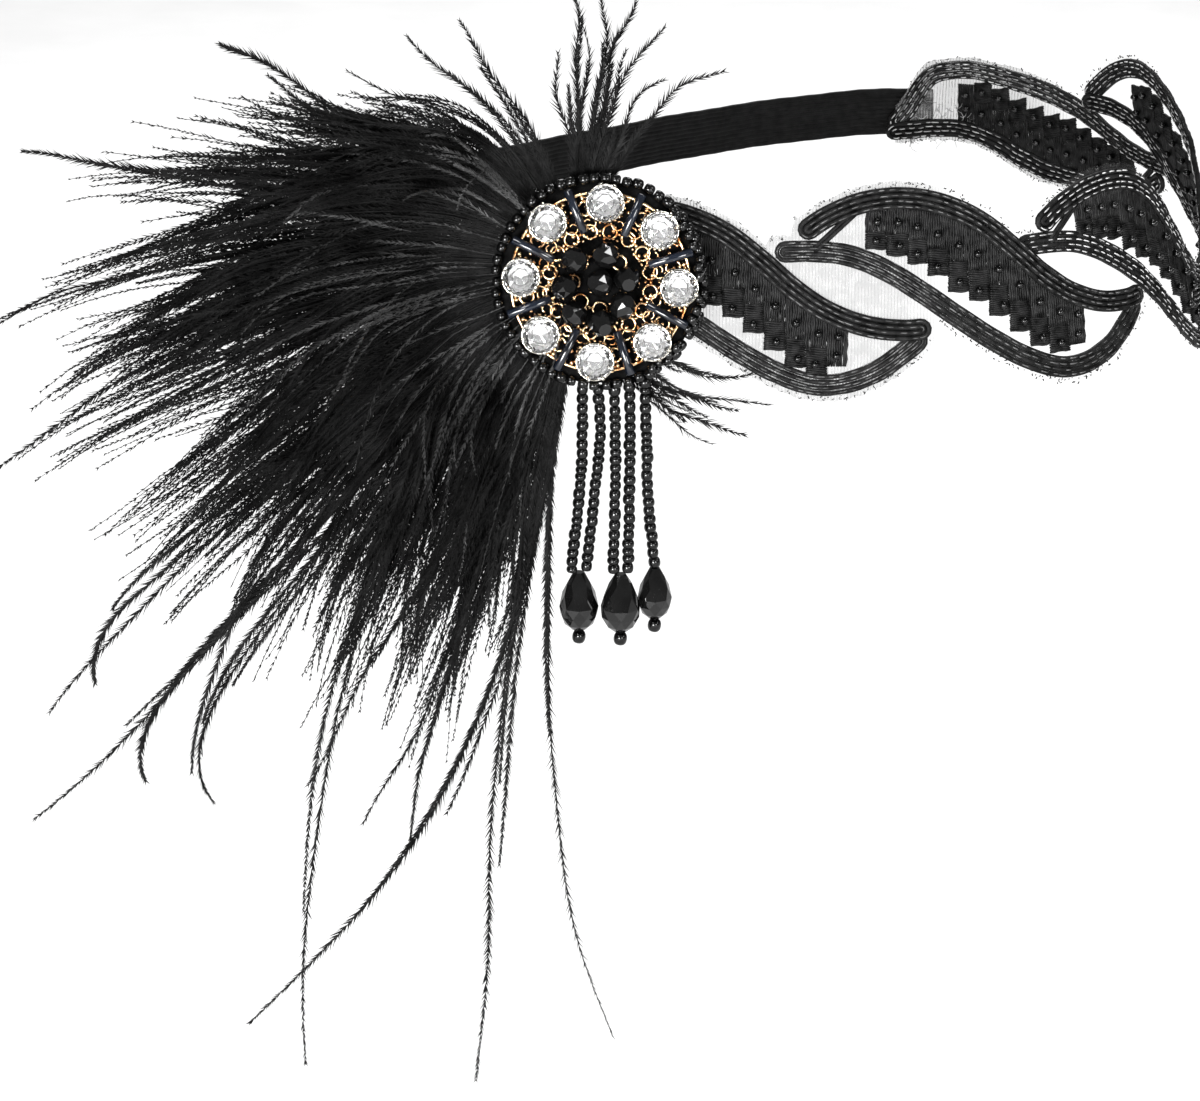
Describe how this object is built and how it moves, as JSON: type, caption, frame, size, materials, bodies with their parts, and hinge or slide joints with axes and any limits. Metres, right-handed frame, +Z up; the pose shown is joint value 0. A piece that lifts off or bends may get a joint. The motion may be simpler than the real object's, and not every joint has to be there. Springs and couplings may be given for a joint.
{
  "type": "flapper feather headband",
  "caption": "Round headband of corded leaf lace and elastic, with a beaded medallion, a feather plume and hanging bead strands with glass drops.",
  "frame": {"origin": "middle of the loop that goes round the head, at half the height of the lace: the mount head_seat", "axes": "+Z up, -Y towards the front with the medallion, +X to the right as seen from the front"},
  "size_m": [0.285, 0.2072, 0.2582],
  "materials": {
    "cord_lace": "satin black cord lace with dark grey highlights",
    "ribbed_elastic": "matt black ribbed elastic",
    "black_felt": "matt black felt",
    "gold_filigree": "bright rose-gold pierced metal",
    "rhinestone": "clear cut glass in silver claws",
    "bugle_glass": "glossy black glass tube with a blue-grey sheen",
    "black_glass": "glossy opaque black glass",
    "ostrich_feather": "soft dyed black ostrich feather"
  },
  "bodies": {
    "root": {"lace_band": "cord_lace", "elastic_band": "ribbed_elastic", "felt_backing": "black_felt", "filigree_plate": "gold_filigree", "edge_bead_ring": "black_glass", "rhinestone_1": "rhinestone", "rhinestone_2": "rhinestone", "rhinestone_3": "rhinestone", "rhinestone_4": "rhinestone", "rhinestone_5": "rhinestone", "rhinestone_6": "rhinestone", "rhinestone_7": "rhinestone", "rhinestone_8": "rhinestone", "bugle_bead_1": "bugle_glass", "bugle_bead_2": "bugle_glass", "bugle_bead_3": "bugle_glass", "bugle_bead_4": "bugle_glass", "bugle_bead_5": "bugle_glass", "bugle_bead_6": "bugle_glass", "bugle_bead_7": "bugle_glass", "bugle_bead_8": "bugle_glass", "jet_bead_1": "black_glass", "jet_bead_2": "black_glass", "jet_bead_3": "black_glass", "jet_bead_4": "black_glass", "jet_bead_5": "black_glass", "jet_bead_6": "black_glass", "jet_bead_7": "black_glass", "jet_bead_8": "black_glass", "bead_strand_1": "black_glass", "bead_strand_2": "black_glass", "bead_strand_3": "black_glass", "bead_strand_4": "black_glass", "bead_strand_5": "black_glass", "glass_drop_1": "black_glass", "glass_drop_2": "black_glass", "glass_drop_3": "black_glass", "end_bead_1": "black_glass", "end_bead_2": "black_glass", "end_bead_3": "black_glass", "plume": "ostrich_feather"}
  },
  "joints": []
}
